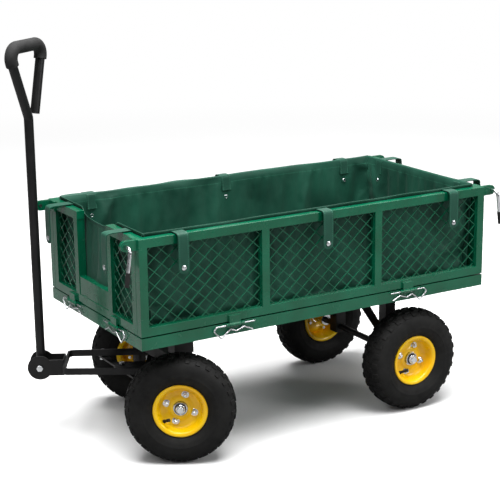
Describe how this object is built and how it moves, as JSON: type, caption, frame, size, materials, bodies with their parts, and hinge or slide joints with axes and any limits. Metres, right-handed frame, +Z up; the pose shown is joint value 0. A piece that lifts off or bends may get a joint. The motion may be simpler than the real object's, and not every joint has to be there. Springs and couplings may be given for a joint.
{
  "type": "garden cart",
  "caption": "Steel garden cart with fold-down mesh sides, a fabric liner, pneumatic wheels, linked knuckle steering and an upright pull handle with a loop grip.",
  "frame": {"origin": "centre of the load floor's top", "axes": "+X forward towards the handle, +Y to the cart's left, +Z up"},
  "size_m": [1.1499, 0.5734, 0.9531],
  "materials": {
    "green_enamel": "gloss enamel over steel",
    "black_enamel": "satin powder coat over steel",
    "yellow_enamel": "gloss enamel over steel",
    "zinc": "bright zinc plate",
    "chrome": "polished plate",
    "tyre": "matt rubber",
    "lever_rubber": "matt rubber",
    "grip_foam": "matt closed-cell foam",
    "liner_cloth": "coated woven polyester"
  },
  "bodies": {
    "tray": {"tray_rim": "green_enamel", "floor_mesh": "green_enamel", "cross_members": "green_enamel", "front_axle_frame": "black_enamel", "rear_axle_frame": "black_enamel", "rear_axle_shaft": "black_enamel", "steering_bolt": "zinc", "frame_bolts": "zinc", "r_clips": "zinc", "liner_floor": "liner_cloth"},
    "left_panel": {"left_panel_frame": "green_enamel", "left_panel_mesh": "green_enamel", "left_straps": "liner_cloth", "left_studs": "zinc", "left_liner_wall": "liner_cloth"},
    "right_panel": {"right_panel_frame": "green_enamel", "right_panel_mesh": "green_enamel", "right_straps": "liner_cloth", "right_studs": "zinc", "right_liner_wall": "liner_cloth"},
    "front_gate": {"front_gate_frame": "green_enamel", "front_gate_mesh": "green_enamel", "front_straps": "liner_cloth", "front_studs": "zinc", "front_liner_wall": "liner_cloth"},
    "rear_gate": {"rear_gate_frame": "green_enamel", "rear_gate_mesh": "green_enamel", "rear_straps": "liner_cloth", "rear_studs": "zinc", "rear_liner_wall": "liner_cloth"},
    "left_knuckle_body": {"left_knuckle": "black_enamel"},
    "right_knuckle_body": {"right_knuckle": "black_enamel"},
    "drawbar_body": {"drawbar": "black_enamel", "tongue_head": "black_enamel", "handle_bolt": "chrome"},
    "tie_rod_body": {"tie_rod": "black_enamel", "tie_rod_bolts": "zinc"},
    "handle": {"handle_tube": "black_enamel", "handle_grip": "grip_foam"},
    "front_left_latch": {"front_left_latch_rod": "chrome", "front_left_latch_grip": "lever_rubber"},
    "front_left_wheel": {"front_left_tyre": "tyre", "front_left_rim": "yellow_enamel", "front_left_hub": "chrome"},
    "front_right_latch": {"front_right_latch_rod": "chrome", "front_right_latch_grip": "lever_rubber"},
    "front_right_wheel": {"front_right_tyre": "tyre", "front_right_rim": "yellow_enamel", "front_right_hub": "chrome"},
    "rear_left_latch": {"rear_left_latch_rod": "chrome", "rear_left_latch_grip": "lever_rubber"},
    "rear_left_wheel": {"rear_left_tyre": "tyre", "rear_left_rim": "yellow_enamel", "rear_left_hub": "chrome"},
    "rear_right_latch": {"rear_right_latch_rod": "chrome", "rear_right_latch_grip": "lever_rubber"},
    "rear_right_wheel": {"rear_right_tyre": "tyre", "rear_right_rim": "yellow_enamel", "rear_right_hub": "chrome"}
  },
  "joints": [
    {"name": "steering", "type": "hinge", "parent": "tray", "child": "drawbar_body", "pos_m": [0.313, 0, -0.151], "axis": [0, 0, 1], "range_deg": [-5, 65]},
    {"name": "left_knuckle_turn", "type": "hinge", "parent": "tray", "child": "left_knuckle_body", "pos_m": [0.313, 0.111, -0.105], "axis": [0, 0, 1], "range_deg": [-5, 65]},
    {"name": "right_knuckle_turn", "type": "hinge", "parent": "tray", "child": "right_knuckle_body", "pos_m": [0.313, -0.111, -0.105], "axis": [0, 0, 1], "range_deg": [-5, 65]},
    {"name": "tie_rod_swing", "type": "hinge", "parent": "drawbar_body", "child": "tie_rod_body", "pos_m": [0.39267, -0.046, -0.1585], "axis": [0, 0, 1], "range_deg": [-65, 5]},
    {"name": "handle_fold", "type": "hinge", "parent": "drawbar_body", "child": "handle", "pos_m": [0.56155, -0.1435, -0.146], "axis": [0.5, 0.866, 0], "range_deg": [-8, 95]},
    {"name": "left_side_fold", "type": "hinge", "parent": "tray", "child": "left_panel", "pos_m": [0, 0.25, 0.008], "axis": [-1, 0, 0], "range_deg": [0, 140]},
    {"name": "right_side_fold", "type": "hinge", "parent": "tray", "child": "right_panel", "pos_m": [0, -0.25, 0.008], "axis": [1, 0, 0], "range_deg": [0, 140]},
    {"name": "front_gate_fold", "type": "hinge", "parent": "tray", "child": "front_gate", "pos_m": [0.485, 0, 0.008], "axis": [0, 1, 0], "range_deg": [0, 14]},
    {"name": "rear_gate_fold", "type": "hinge", "parent": "tray", "child": "rear_gate", "pos_m": [-0.485, 0, 0.008], "axis": [0, -1, 0], "range_deg": [0, 150]},
    {"name": "front_left_latch_pull", "type": "slide", "parent": "left_panel", "child": "front_left_latch", "axis": [0, 1, 0], "range_m": [0, 0.03]},
    {"name": "front_right_latch_pull", "type": "slide", "parent": "right_panel", "child": "front_right_latch", "axis": [0, -1, 0], "range_m": [0, 0.03]},
    {"name": "rear_left_latch_pull", "type": "slide", "parent": "left_panel", "child": "rear_left_latch", "axis": [0, 1, 0], "range_m": [0, 0.03]},
    {"name": "rear_right_latch_pull", "type": "slide", "parent": "right_panel", "child": "rear_right_latch", "axis": [0, -1, 0], "range_m": [0, 0.03]},
    {"name": "front_left_wheel_spin", "type": "hinge", "parent": "left_knuckle_body", "child": "front_left_wheel", "pos_m": [0.3635, 0.19847, -0.185], "axis": [0.5, 0.866, 0], "continuous": true},
    {"name": "front_right_wheel_spin", "type": "hinge", "parent": "right_knuckle_body", "child": "front_right_wheel", "pos_m": [0.2625, -0.19847, -0.185], "axis": [0.5, 0.866, 0], "continuous": true},
    {"name": "rear_left_wheel_spin", "type": "hinge", "parent": "tray", "child": "rear_left_wheel", "pos_m": [-0.284, 0.204, -0.185], "axis": [0, 1, 0], "continuous": true},
    {"name": "rear_right_wheel_spin", "type": "hinge", "parent": "tray", "child": "rear_right_wheel", "pos_m": [-0.284, -0.204, -0.185], "axis": [0, 1, 0], "continuous": true}
  ],
  "couplings": [
    {"joint": "left_knuckle_turn", "follows": "steering", "ratio": 1},
    {"joint": "right_knuckle_turn", "follows": "steering", "ratio": 1},
    {"joint": "tie_rod_swing", "follows": "steering", "ratio": -1},
    {"joint": "front_left_latch_pull", "follows": "front_gate_fold", "m_per_rad": 0.12237},
    {"joint": "front_right_latch_pull", "follows": "front_gate_fold", "m_per_rad": 0.12237},
    {"joint": "rear_left_latch_pull", "follows": "rear_gate_fold", "m_per_rad": 0.01142},
    {"joint": "rear_right_latch_pull", "follows": "rear_gate_fold", "m_per_rad": 0.01142}
  ]
}
